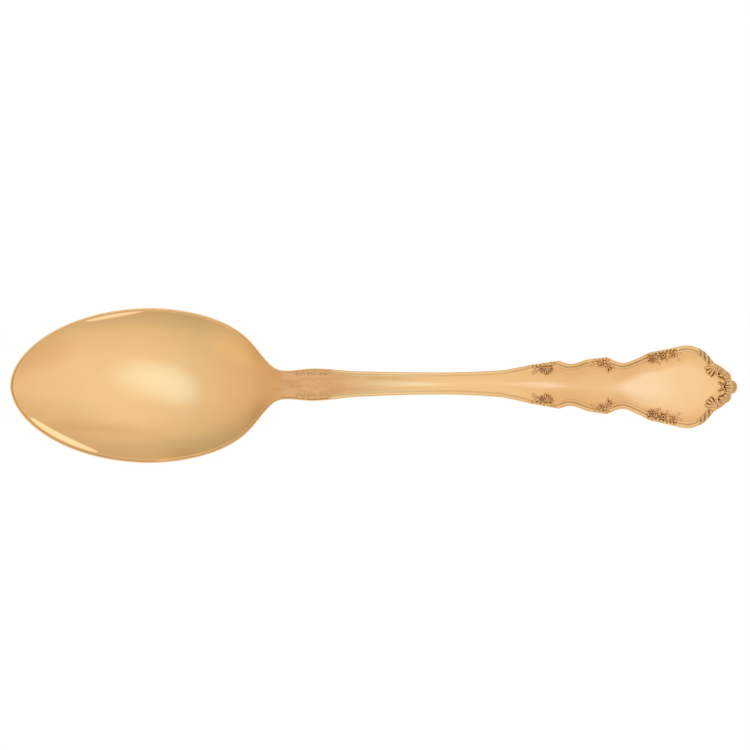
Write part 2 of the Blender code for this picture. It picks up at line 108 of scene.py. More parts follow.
# Half widths of the outline behind the bowl's widest place, then between the corners of the handle
NOSE_STATIONS = (14.0, 20.0, 26.0, 31.0, BOWL_WIDEST)
BOWL_SIDE = ((47.53, 18.26), (56.93, 14.56), (61.28, 11.03), (64.24, 7.42), (67.37, 4.37),
             (NECK_AT, NECK_HALF_WIDTH), (COLLAR_AT, COLLAR_HALF_WIDTH))
SPANS = (
    ((NECK_AT, NECK_HALF_WIDTH), (COLLAR_AT, COLLAR_HALF_WIDTH), (88.2, 3.25), (WAIST_AT, WAIST_HALF_WIDTH),
     (123.7, 3.35), (133.1, 5.1), (LOWER_CUSP_AT, 6.1)),
    ((LOWER_CUSP_AT, 6.1), (142.3, 5.35), (146.9, 6.64), (MIDDLE_CUSP_AT, 7.25)),
    ((MIDDLE_CUSP_AT, 7.25), (155.7, 5.85), (159.1, 6.99), (FOOT_AT, 8.65)),
    ((FOOT_AT, 8.65), (167.4, 9.68), (SHOULDER_AT, 10.6), (175.65, 9.62), (178.05, 7.45), (NOTCH_AT, 6.1)),
    ((NOTCH_AT, 6.1), (180.1, 5.5), (181.15, 4.85), (181.6, 4.4), (182.6, 3.7), (BLADE_END_AT, 3.0)),
)


def steady_curve(points, level_start=False):
    """Curve through the points that never overshoots between them (monotone cubic)."""
    at, value = np.array(points, float).T
    step = np.diff(at)
    secant = np.diff(value) / step
    slope = np.zeros(len(at))
    slope[0] = 0.0 if level_start else secant[0]
    slope[-1] = secant[-1]
    for i in range(1, len(at) - 1):
        if secant[i - 1] * secant[i] > 0:
            before, after = 2 * step[i] + step[i - 1], step[i] + 2 * step[i - 1]
            slope[i] = (before + after) / (before / secant[i - 1] + after / secant[i])

    def curve(s):
        i = np.clip(np.searchsorted(at, s) - 1, 0, len(step) - 1)
        t = np.clip((s - at[i]) / step[i], 0, 1)
        rise = value[i] * (1 + 2 * t) * (1 - t) ** 2 + value[i + 1] * t * t * (3 - 2 * t)
        return rise + step[i] * t * (1 - t) * (slope[i] * (1 - t) - slope[i + 1] * t)

    return curve


def flowing_curve(points):
    """Curve through the points whose bend changes smoothly (natural cubic spline)."""
    at, value = np.array(points, float).T
    step = np.diff(at)
    system, load = np.eye(len(at)), np.zeros(len(at))
    for i in range(1, len(at) - 1):
        system[i, i - 1 : i + 2] = step[i - 1], 2 * (step[i - 1] + step[i]), step[i]
        load[i] = 6 * ((value[i + 1] - value[i]) / step[i] - (value[i] - value[i - 1]) / step[i - 1])
    bend = np.linalg.solve(system, load)

    def curve(s):
        i = np.clip(np.searchsorted(at, s) - 1, 0, len(step) - 1)
        a = (at[i + 1] - s) / step[i]
        b = 1 - a
        bending = ((a**3 - a) * bend[i] + (b**3 - b) * bend[i + 1]) * step[i] ** 2 / 6
        return a * value[i] + b * value[i + 1] + bending

    return curve


def nose_half_width(s):
    """Half width of the bowl in front of its widest place."""
    forward = np.clip(1 - s / BOWL_WIDEST, 0, 1)
    return BOWL_HALF_WIDTH * (1 - forward**2) ** FRONT_POINT


bowl_side = flowing_curve([(s, nose_half_width(s)) for s in NOSE_STATIONS] + list(BOWL_SIDE))
span_curves = [steady_curve(span, level_start=(i == 0)) for i, span in enumerate(SPANS)]


def sharp_half_width(s):
    """Distance from the centre line to the outline, with its cusps still sharp."""
    width = np.where(s < BOWL_WIDEST, nose_half_width(s), bowl_side(s))
    for span, curve in zip(SPANS, span_curves):
        width = np.where(s > span[0][0], curve(s), width)
    return width


def half_width(s):
    """The outline as it is struck, with each cusp rounded by averaging over its radius."""
    s = np.asarray(s, float)
    offsets = np.linspace(-1.5, 1.5, 13)
    weights = np.exp(-2 * offsets**2)
    smooth = sum(w * sharp_half_width(s + CUSP_ROUND * o) for w, o in zip(weights, offsets)) / weights.sum()
    ease = np.clip((s - CUSPS_FROM) / CUSPS_EASE, 0, 1)
    return sharp_half_width(s) * (1 - ease) + smooth * ease


rim_line = flowing_curve([
    (0.0, 9.6), (BOWL_WIDEST, 10.6), (NECK_AT, 13.2), (WAIST_AT, 20.2), (LOWER_CUSP_AT, 13.8),
    (MIDDLE_CUSP_AT, 9.1), (SHOULDER_AT, 3.2), (SPOON_LENGTH, 2.1)])
plain_half_width = steady_curve([
    (NECK_AT, NECK_HALF_WIDTH), (COLLAR_AT, COLLAR_HALF_WIDTH), (WAIST_AT, WAIST_HALF_WIDTH),
    (LOWER_CUSP_AT, 6.1), (SHOULDER_AT, 10.6), (SPOON_LENGTH, 10.6)])
crown_rise = steady_curve([
    (NECK_AT, 0.0), (WAIST_AT, 0.6), (LOWER_CUSP_AT, 0.4), (154.0, 0.5), (SPOON_LENGTH, 0.5)])
handle_thickness = steady_curve([(NECK_AT, 3.65), (WAIST_AT, 3.0), (LOWER_CUSP_AT, 2.4), (SPOON_LENGTH, 2.4)])
hollow_tail = flowing_curve(
    [(s, 1 - (1 - s / BOWL_WIDEST) ** 2) for s in (14.0, 21.0, 28.0)]
    + [(BOWL_WIDEST, 1.0), (44.75, 0.935), (53.8, 0.69), (60.76, 0.37), (65.98, 0.115), (NECK_AT, 0.02),
       (77.46, 0.0), (84.0, 0.0)])
heel_swell = steady_curve([(46.5, 0.0), (NECK_AT, 1.0), (SEAM_AT, 1.0)], level_start=True)


def front(s, y):
    """Height of the front of the spoon: the rim line, less the bowl's hollow, plus the handle's crown."""
    forward = np.clip(1 - s / BOWL_WIDEST, 0, 1)
    along = np.where(s < BOWL_WIDEST, 1 - forward**2, np.where(s < SEAM_AT, hollow_tail(s), 0.0))
    across = np.clip((y / np.maximum(half_width(s) - EDGE_WIDTH, LEAST_HALF_WIDTH)) ** 2, 0, 1.2)
    dish = BOWL_DEPTH * along * (1 - across)
    reach = np.clip(y / (plain_half_width(s) - CROWN_INSET), -1, 1)
    fall = np.interp(s, CROWN_STATIONS, CROWN_FALLS)
    crown = np.where(s > NECK_AT, crown_rise(s) * (1 - reach**2) ** fall, 0.0)
    return rim_line(s) - np.maximum(dish, 0) + crown


def back(s, y):
    """Height of the back: the bowl's wall and heel under the front, then the rounded back of the handle."""
    across = np.clip(y / np.maximum(half_width(s), LEAST_HALF_WIDTH), -1, 1) ** 2
    heel = heel_swell(s)
    wall = BOWL_WALL + heel**2 * (handle_thickness(s) - BOWL_WALL) * (1 - across * HEEL_THINNING)
    round_back = handle_thickness(s) * (1 - BACK_ROUNDING * np.clip(y / plain_half_width(s), -1, 1) ** 2)
    share = np.clip((s - HEEL_BLEND_FROM) / (NECK_AT - HEEL_BLEND_FROM), 0, 1)
    share = share * share * (3 - 2 * share)
    bowl_back = front(s, y) - wall
    handle_back = rim_line(s) - round_back
    return np.maximum(bowl_back * (1 - share) + handle_back * share, 0.0)


corner_at = BLADE_END_AT - END_CORNER


def end_width(s):
    """Half width of the outline, closing round the corners of the handle's end."""
    past = np.clip((s - corner_at) / END_CORNER, 0, 1)
    closing = (1 - past**END_CORNER_POWER) ** (1 / END_CORNER_POWER)
    return np.where(s < corner_at, half_width(s), half_width(corner_at) * closing)


def outline_points():
    """Half of the outline, from the bowl's front to the middle of the handle's end, as rows of s and y."""
    turn = np.linspace(0, math.pi / 2, 61)[:-1]
    nose = np.array([BOWL_WIDEST * (1 - np.cos(turn)), BOWL_HALF_WIDTH * np.sin(turn) ** (2 * FRONT_POINT)]).T
    stations = np.concatenate([np.linspace(BOWL_WIDEST, NECK_AT, 48)[:-1],
                               np.linspace(NECK_AT, BLADE_FROM, 70)[:-1],
                               np.linspace(BLADE_FROM, corner_at, 200)])
    side = np.array([stations, half_width(stations)]).T
    turn = np.linspace(0, math.pi / 2, 15)[1:]
    power = 2 / END_CORNER_POWER
    end = np.array([corner_at + END_CORNER * np.sin(turn) ** power,
                    half_width(corner_at) * np.cos(turn) ** power]).T
    return np.vstack([nose, side, end])


def edge_normals(edge):
    """Directions that point out of the spoon in plan, at each point of half of its outline."""
    run = np.gradient(edge, axis=0)
    normals = np.array([-run[:, 1], run[:, 0]]).T
    normals /= np.linalg.norm(normals, axis=1)[:, None]
    normals[0], normals[-1] = (-1, 0), (1, 0)
    return normals


def rolled(name, rows, tarnish_and_shade, closed_ends=True):
    """A sheet whose every row of points is closed on itself, one row after another, with its tarnish, which
    on the bowl and handle is partly painted shade.
    """
    count, around = rows.shape[0], rows.shape[1]
    bpy.ops.object.select_all(action="DESELECT")
    bpy.ops.mesh.primitive_grid_add(x_subdivisions=around, y_subdivisions=count - 1, size=1)
    sheet = bpy.context.object
    sheet.name = name
    seam = np.concatenate([rows, rows[:, :1]], axis=1).reshape(-1, 3)
    sheet.data.vertices.foreach_set("co", seam.ravel())
    mark = sheet.data.attributes.new("tarnish_and_shade", "FLOAT", "POINT")
    mark.data.foreach_set("value", np.concatenate([tarnish_and_shade, tarnish_and_shade[:, :1]], axis=1).ravel())
    sheet.data.update()
    bpy.ops.object.mode_set(mode="EDIT")
    bpy.ops.mesh.select_all(action="SELECT")
    bpy.ops.mesh.remove_doubles(threshold=1e-5)
    bpy.ops.mesh.dissolve_degenerate(threshold=1e-6)
    if closed_ends:
        bpy.ops.mesh.select_all(action="DESELECT")
        bpy.ops.mesh.select_non_manifold()
        bpy.ops.mesh.edge_face_add()
    bpy.ops.mesh.select_all(action="SELECT")
    bpy.ops.mesh.normals_make_consistent(inside=False)
    bpy.ops.object.mode_set(mode="OBJECT")
    return sheet


def body_rows():
    """Closed rows of points round the spoon, from the middle of its front over the rim to its back."""
    half = outline_points()
    out = edge_normals(half)
    edge = np.vstack([half, half[-2:0:-1] * (1, -1)])
    out = np.vstack([out, out[-2:0:-1] * (1, -1)])
    rim = np.interp(edge[:, 0], *RIM_WIDTHS)
    inner = edge - rim[:, None] * out
    hub = np.clip(inner[:, 0], BOWL_WIDEST, corner_at)
    spine_points = np.array([hub, np.zeros(len(hub))]).T
    shares = np.sort(np.append(1 - (1 - np.linspace(0, 1, RING_COUNT)) ** RING_BUNCHING, LAST_RING))
    rows = []
    for share in shares:
        s, y = (spine_points + share * (inner - spine_points)).T
        rows.append(np.array([s, y, front(s, y)]).T)
    s, y = inner.T
    top, foot = front(s, y), back(s, y)
    wall = BOWL_WALL * rim / RIM_WIDTH
    for outward, drop in RIM_SECTION:
        s, y = (inner + outward * rim[:, None] * out).T
        height = top - drop * wall if drop < 0.5 else foot + (1 - drop) * wall
        rows.append(np.array([s, y, height]).T)
    for share in shares[::-1]:
        s, y = (spine_points + share * (inner - spine_points)).T
        rows.append(np.array([s, y, back(s, y)]).T)
    return np.array(rows)


def linear(hex_colour):
    """An sRGB hex colour as the linear RGBA that a shader takes."""
    channels = [int(hex_colour[i : i + 2], 16) / 255 for i in (1, 3, 5)]
    return [c / 12.92 if c <= 0.04045 else ((c + 0.055) / 1.055) ** 2.4 for c in channels] + [1.0]


def node(tree, kind, settings=None, **links):
    """Adds a node with its settings, and feeds each named socket from another socket or with a value."""
    made = tree.nodes.new(kind)
    for name, value in (settings or {}).items():
        setattr(made, name, value)
    for name, source in links.items():
        socket = made.inputs[int(name[1:]) if name[1:].isdigit() else name.replace("_", " ")]
        if isinstance(source, bpy.types.NodeSocket):
            tree.links.new(source, socket)
        else:
            socket.default_value = source
    return made


def gilt(name, light, deep, tarnish_and_shade_colour, smooth, dull, patch):
    """Gold plate on brass, buffed after plating: a mirror softened by fine wheel marks along the spoon,
    with faint clouds of thicker and thinner gold, and brown tarnish in patches that the wheel can't reach; on
    the bowl and handle the same brown is partly painted shade."""
    cloud_size, mark_width, mark_length = 7.0, 0.12, 5.0
    material = bpy.data.materials.new(name)
    material.use_nodes = True
    tree = material.node_tree
    shader = tree.nodes["Principled BSDF"]
    shader.inputs["Metallic"].default_value = 1.0
    place = node(tree, "ShaderNodeTexCoord").outputs["Object"]
    clouds = node(tree, "ShaderNodeTexNoise", Vector=place, Scale=1 / (cloud_size * MM), Detail=3.0,
                  Roughness=0.55)
    stretch = (1 / (mark_length * MM), 1 / (mark_width * MM), 1 / (mark_width * MM))
    lengthwise = node(tree, "ShaderNodeMapping", Vector=place, Scale=stretch)
    marks = node(tree, "ShaderNodeTexNoise", Vector=lengthwise.outputs["Vector"], Scale=1.0, Detail=2.0)
    gold = node(tree, "ShaderNodeMix", {"data_type": "RGBA"}, _0=clouds.outputs["Fac"],
                _6=linear(deep), _7=linear(light))
    left = node(tree, "ShaderNodeAttribute", {"attribute_name": "tarnish_and_shade"})
    spread = node(tree, "ShaderNodeMapping", Vector=place, Scale=[1 / (size * MM) for size in patch])
    specks = node(tree, "ShaderNodeTexNoise", Vector=spread.outputs["Vector"], Scale=1.0, Detail=2.0)
    patchy = node(tree, "ShaderNodeMapRange", Value=specks.outputs["Fac"], From_Min=0.35, From_Max=0.65,
                  To_Min=0.86, To_Max=1.12)
    tarnish_and_shade = node(tree, "ShaderNodeMath", {"operation": "MULTIPLY", "use_clamp": True},
                   _0=left.outputs["Fac"], _1=patchy.outputs["Result"])
    colour = node(tree, "ShaderNodeMix", {"data_type": "RGBA"}, _0=tarnish_and_shade.outputs[0],
                  _6=gold.outputs[2], _7=linear(tarnish_and_shade_colour))
    wheel = node(tree, "ShaderNodeMapRange", Value=marks.outputs["Fac"], From_Min=0.3, From_Max=0.7,
                 To_Min=smooth * 0.85, To_Max=smooth * 1.2)
    rough = node(tree, "ShaderNodeMix", _0=tarnish_and_shade.outputs[0], _2=wheel.outputs["Result"], _3=dull)
    relief = node(tree, "ShaderNodeBump", Height=marks.outputs["Fac"], Strength=0.04, Distance=0.02 * MM)
    tree.links.new(colour.outputs[2], shader.inputs["Base Color"])
    tree.links.new(rough.outputs[0], shader.inputs["Roughness"])
    tree.links.new(relief.outputs["Normal"], shader.inputs["Normal"])
    return material


SMOOTH_ANGLE = math.radians(50)


def finish_piece(piece, material, slot, *nodes):
    """Turns a mesh in millimetres to metres in the frame, dresses it, and seats it on the spoon's body."""
    points = np.empty(len(piece.data.vertices) * 3)
    piece.data.vertices.foreach_get("co", points)
    points = points.reshape(-1, 3) * MM
    points[:, 0] += cad_box[0][0]
    piece.data.vertices.foreach_set("co", points.ravel())
    piece.data.update()
    piece.data.materials.clear()
    piece.data.materials.append(material)
    bpy.ops.object.select_all(action="DESELECT")
    piece.select_set(True)
    bpy.context.view_layer.objects.active = piece
    bpy.ops.object.shade_smooth_by_angle(angle=SMOOTH_ANGLE)
    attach(piece, "root")
    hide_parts(*nodes)


NECK_TARNISH_AND_SHADE = 0.54
NECK_DARKEST_AT = 74.0
NECK_DARKENING_FULL = 1.3
TARNISH_TO_BOWL = 10.0
TARNISH_AND_SHADE_TO_STEM = 24.0
BORDER_DARKENING = 0.2
BORDER_EASE = 8.0
BORDER_WIDTH = 5.5
BORDER_FADE = 3.0
FRONT_EASE_ROWS = 3
RIM_PAINTED_SHADE = 0.16
RIM_SHADE_ROWS = 5.5
RIM_SHADE_END = 66.0
RIM_SHADE_FADE = 6.0
# Its orange-brown is mixed in for tarnish at the neck, for painted shade along the stem and on the bowl's
# rim, and to darken the blade's edges
polished_gilt = gilt("polished_gold_plate", "#F6D09A", "#F2C991", "#C07030", 0.05, 0.24, (16.0, 0.9, 0.9))
rows = body_rows()
s, y = rows[:, :, 0], rows[:, :, 1]
# Tarnish about the neck, drawn out along the stem as painted shade as far as about 105 mm, where it dims the
# overhead panel's reflection
past_neck = s - NECK_DARKEST_AT
reach = np.where(past_neck < 0, -past_neck / TARNISH_TO_BOWL, past_neck / TARNISH_AND_SHADE_TO_STEM)
browning_and_shade = NECK_TARNISH_AND_SHADE * np.clip(NECK_DARKENING_FULL - reach, 0, 1)
# The blade is made darker over the last 5.5 mm towards its outline, easing in over 8 mm from the blade's
# start
border = np.clip((BORDER_WIDTH - end_width(s) + np.abs(y)) / BORDER_FADE, 0, 1)
browning_and_shade += BORDER_DARKENING * np.clip((s - BLADE_FROM) / BORDER_EASE, 0, 1) * border
from_edge = np.arange(len(rows)) - (len(rows) - 1) / 2
browning_and_shade *= np.clip(-from_edge / FRONT_EASE_ROWS, 0, 1)[:, None]
# Painted shade on the bowl's rim: the rim rows are browned back to the neck, standing in for the dark
# reflection of the rim's rounded edge
on_rim = (np.abs(from_edge) < RIM_SHADE_ROWS)[:, None]
browning_and_shade += RIM_PAINTED_SHADE * on_rim * np.clip((RIM_SHADE_END - s) / RIM_SHADE_FADE, 0, 1)
whole = rolled("gilt_bowl", rows, np.clip(browning_and_shade, 0, 1), closed_ends=False)
blank = whole.copy()
blank.data = whole.data.copy()
blank.name = "gilt_handle"
bpy.context.scene.collection.objects.link(blank)
for piece, keep_bowl in ((whole, True), (blank, False)):
    bpy.ops.object.select_all(action="DESELECT")
    piece.select_set(True)
    bpy.context.view_layer.objects.active = piece
    bpy.ops.object.mode_set(mode="EDIT")
    bpy.ops.mesh.select_all(action="SELECT")
    bpy.ops.mesh.bisect(plane_co=(SEAM_AT, 0, 0), plane_no=(1, 0, 0), use_fill=True,
                        clear_outer=keep_bowl, clear_inner=not keep_bowl)
    bpy.ops.object.mode_set(mode="OBJECT")
finish_piece(whole, polished_gilt, "polished_gilt", "bowl")
finish_piece(blank, polished_gilt, "polished_gilt", "handle")

# Stem threads and border rails: half-round mouldings of gold-plated brass, soldered along the handle's
# edges, each a wide outer roll and a narrow sunk line that keeps its tarnish. The rails have a fine inner
# bead as well, and the upper ones are roped round the shoulder.

EDGE_FROM = 70.0
edge_grid = np.linspace(EDGE_FROM, corner_at, 1600)
edge_line = np.array([edge_grid, half_width(edge_grid)]).T
edge_inward = -edge_normals(edge_line)
edge_inward[0], edge_inward[-1] = edge_inward[1], edge_inward[-2]


def along_edge(s, inset):
    """Places in plan that lie the given distance inside the outline at the given stations."""
    point = np.array([np.interp(s, edge_grid, edge_line[:, k]) for k in (0, 1)])
    inward = np.array([np.interp(s, edge_grid, edge_inward[:, k]) for k in (0, 1)])
    inward /= np.linalg.norm(inward, axis=0)
    return point + inset * inward


# Inset, rise and tarnish across a moulding, from the spoon's edge inwards
THREAD_PROFILE = np.array([
    (0.16, -0.50, 0.3), (0.04, -0.14, 0.3), (0.07, 0.07, 0.25), (0.18, 0.19, 0.1), (0.36, 0.25, 0),
    (0.54, 0.23, 0), (0.70, 0.15, 0.05), (0.82, 0.07, 0.2), (0.94, 0.03, 0.26), (1.08, 0.02, 0.2),
    (1.2, -0.03, 0.08), (1.2, -0.50, 0.08)])
RAIL_PROFILE = np.array([
    (0.18, -0.50, 0.25), (0.04, -0.12, 0.25), (0.07, 0.12, 0.2), (0.20, 0.27, 0.1), (0.42, 0.34, 0),
    (0.64, 0.31, 0), (0.80, 0.19, 0.1), (0.92, 0.06, 0.4), (1.04, 0.05, 0.5), (1.15, 0.12, 0.2),
    (1.27, 0.19, 0), (1.44, 0.19, 0), (1.56, 0.11, 0.1), (1.66, -0.02, 0.3), (1.66, -0.50, 0.3)])
RAILS = {"stem_thread": (81.0, 132.0, THREAD_PROFILE), "lower_rail": (138.8, 149.0, RAIL_PROFILE),
         "middle_rail": (152.6, 162.0, RAIL_PROFILE), "upper_rail": (169.2, 178.95, RAIL_PROFILE)}
RAIL_STEP = 0.1
RAIL_EASE = 1.4
ROOT_RISE = -0.4
END_DIP = 0.1
ROPE_FROM = 174.6
ROPE_EASE = 1.5
ROPE_END_EASE = 0.4
ROPE_WIDTH = 1.6
ROPE_PITCH = 1.15
ROPE_SLANT = 0.8
ROPE_RISE = 0.12
ROPE_GROOVE = 0.7
ROPE_POLISH = 0.6
ROPE_TARNISH = 0.12
GROOVE_TARNISH = 0.6


def mirrored(piece, name):
    """The same piece for the left side, with its own mesh turned over the middle plane."""
    twin = piece.copy()
    twin.data = piece.data.copy()
    twin.name = name
    bpy.context.scene.collection.objects.link(twin)
    points = np.empty(3 * len(twin.data.vertices))
    twin.data.vertices.foreach_get("co", points)
    points[1::3] *= -1
    twin.data.vertices.foreach_set("co", points)
    twin.data.flip_normals()
    twin.data.update()
    return twin


moulded_gilt = gilt("moulded_gold_plate", "#F6D09A", "#F0C68C", "#6E431C", 0.13, 0.4, (0.6, 0.6, 0.6))
for name, (start, end, profile) in RAILS.items():
    stations = np.linspace(start, end, int((end - start) / RAIL_STEP))
    run_out = RAIL_EASE if end < ROPE_FROM else ROPE_END_EASE
    ease = np.clip(np.minimum((stations - start) / RAIL_EASE, (end - stations) / run_out), 0, 1)
    ease = np.sqrt(ease * (2 - ease))
    roped = np.clip((stations - ROPE_FROM) / ROPE_EASE, 0, 1)
    rows, browning_and_shade = [], []
    for inset, rise, tarnish_and_shade in profile:
        s, y = along_edge(stations, inset)
        twist = 0.5 - 0.5 * np.cos(2 * math.pi * (stations - ROPE_SLANT * inset) / ROPE_PITCH)
        groove = roped * twist**2
        strand = rise + roped * ROPE_RISE * math.sin(math.pi * min(inset / ROPE_WIDTH, 1))
        lift = strand * ease * (1 - ROPE_GROOVE * groove) - END_DIP * (1 - ease) if rise > ROOT_RISE else rise
        rows.append(np.array([s, y, front(s, y) + lift]).T)
        plain = tarnish_and_shade * (1 - ROPE_POLISH * roped)
        browning_and_shade.append(np.clip(plain + ROPE_TARNISH * roped + GROOVE_TARNISH * groove, 0, 1))
    right = rolled(f"gilt_{name}_right", np.array(rows).transpose(1, 0, 2), np.array(browning_and_shade).T)
    left = mirrored(right, f"gilt_{name}_left")
    finish_piece(right, moulded_gilt, "moulded_gilt", f"{name}_right")
    finish_piece(left, moulded_gilt, "moulded_gilt", f"{name}_left")

# Rose sprays: flowers, beads and leaves of gold-plated brass, struck in relief and soldered along the
# scalloped edge, in three sizes. Each lies on a low ground that the polishing wheel never reaches, so the
# ground and the creases stay brown.

# Grid of a relief, how far it dips under the metal outside its shapes, and the dip at which it is cut off
GRAIN = 0.05
RELIEF_DIP = 0.12
CUT_OFF = -0.05


def dome(field, height):
    """Rounded height over a field that is 1 in a shape's middle and 0 on its border, falling away outside."""
    inside = np.clip(field, 0, 1)
    return height * np.where(field > 0, 1 - (1 - inside) ** 2, 2 * np.maximum(field, -3))


def turned(s, y, at, toward):
    """Distances from a place, along and across a direction that is given in degrees from the handle's end."""
    turn = math.radians(toward)
    ds, dy = s - at[0], y - at[1]
    return ds * math.cos(turn) + dy * math.sin(turn), dy * math.cos(turn) - ds * math.sin(turn)


def leaf(at, toward, length, width, height, bend=0.0, vein=0.35, teeth=0):
    """A pointed leaf from its root, bending to its left, with a sunk midrib; a toothed one has side veins."""

    def relief(s, y):
        along, across = turned(s, y, at, toward)
        along = along / length
        across = across - bend * length * np.clip(along, 0, 1) ** 2
        reach = 2 * along - 1
        reach = np.where(np.abs(reach) < 1, reach + 0.22 * (1 - reach**2), reach)
        out = np.abs(across) / (width / 2)
        tooth = (teeth * along - 0.5 * out) % 1.0
        field = 1 - reach**2 - out * (1 + 0.35 * tooth * (teeth > 0))
        grooves = vein * np.exp(-((across / (0.12 * width)) ** 2))
        if teeth:
            side_veins = 0.3 * np.exp(-(((tooth - 0.5) / 0.17) ** 2))
            grooves = np.maximum(grooves, side_veins * np.clip(2 * out, 0, 1))
        return dome(field, height) - height * grooves * np.clip(2.5 * field, 0, 1)

    return relief


def petal(at, toward, length, width, height, cup=0.0):
    """A rounded petal or bead about its middle; a cupped one is hollow towards its root."""

    def relief(s, y):
        along, across = turned(s, y, at, toward)
        field = 1 - (2 * along / length) ** 2 - (2 * across / width) ** 2
        hollow = 1 - (2.2 * along / length + 0.25) ** 2 - (2.2 * across / width) ** 2
        return dome(field, height) - cup * height * np.clip(hollow, 0, 1) ** 1.4

    return relief


def ring(at, radius, count, phase, reach, length, width, height, cup=0.0):
    """Petals round a middle, each pointing outwards; all lengths are shares of the flower's radius."""
    petals = []
    for k in range(count):
        turn = phase + 360 * k / count
        away = reach * radius
        spot = (at[0] + away * math.cos(math.radians(turn)), at[1] + away * math.sin(math.radians(turn)))
        petals.append(petal(spot, turn, length * radius, width * radius, height, cup))
    return petals


def rose(at, radius, height, phase=0):
    """A full rose: five broad cupped petals, four inner ones and a tight heart."""
    return (ring(at, radius, 5, phase, 0.64, 0.74, 0.78, 0.70 * height, 0.6)
            + ring(at, radius, 4, phase + 20, 0.33, 0.48, 0.50, 0.92 * height, 0.5)
            + [petal(at, 0, 0.32 * radius, 0.32 * radius, height)])


def blossom(at, radius, height, phase=0):
    """An open flower: five cupped petals, well apart, about a bead."""
    return (ring(at, radius, 5, phase, 0.66, 0.66, 0.58, 0.78 * height, 0.55)
            + [petal(at, 0, 0.46 * radius, 0.46 * radius, height)])


def fan(at, first, last, count, length, width, height, bend=0.0):
    """Slender leaves that spread from one place, between two directions."""
    return [leaf(at, toward, length, width, height, bend, vein=0.0)
            for toward in np.linspace(first, last, count)]


def ridge(points, width, height, taper=0.45):
    """A rounded ridge along a line of points, narrowing to its end."""
    points = np.array(points, float)

    def relief(s, y):
        best = np.full(np.shape(s), -3.0)
        for i, (a, b) in enumerate(zip(points[:-1], points[1:])):
            run = b - a
            share = np.clip(((s - a[0]) * run[0] + (y - a[1]) * run[1]) / (run @ run), 0, 1)
            away = np.hypot(s - a[0] - share * run[0], y - a[1] - share * run[1])
            slim = 1 - taper * (i + share) / (len(points) - 1)
            best = np.maximum(best, 1 - (2 * away / (width * slim)) ** 2)
        return dome(best, height)

    return relief


def curl(at, radius, start, turns, width, height):
    """A volute that winds inwards from its outer end; turns below zero wind the other way."""
    steps = np.linspace(0, 1, 26)
    angle = np.radians(start) + 2 * math.pi * turns * steps
    away = radius * (1 - 0.78 * steps)
    return ridge(np.array([at[0] + away * np.cos(angle), at[1] + away * np.sin(angle)]).T, width, height)


def rosette(at, radius, height):
    """A small flower: a raised ring round a sunk eye, in a wreath of beads."""
    turn = np.linspace(0, 2 * math.pi, 17)
    eye = np.array([at[0] + 0.42 * radius * np.cos(turn), at[1] + 0.42 * radius * np.sin(turn)]).T
    wreath = ring(at, radius, 7, 10, 0.86, 0.42, 0.46, 0.7 * height)
    return wreath + [ridge(eye, 0.40 * radius, height, taper=0.0)]


def beads(first, last, inset, size, height):
    """A row of beads just inside the outline."""
    pitch = 1.25 * size
    return [petal(spot, 0, size, size, height) for spot in along_edge(np.arange(first, last, pitch), inset).T]


def softened(field, width):
    """The field averaged over about the given width each way."""
    reach = max(1, round(width / GRAIN))
    for axis in (0, 1):
        field = sum(np.roll(field, k, axis) for k in range(-reach, reach + 1)) / (2 * reach + 1)
    return field


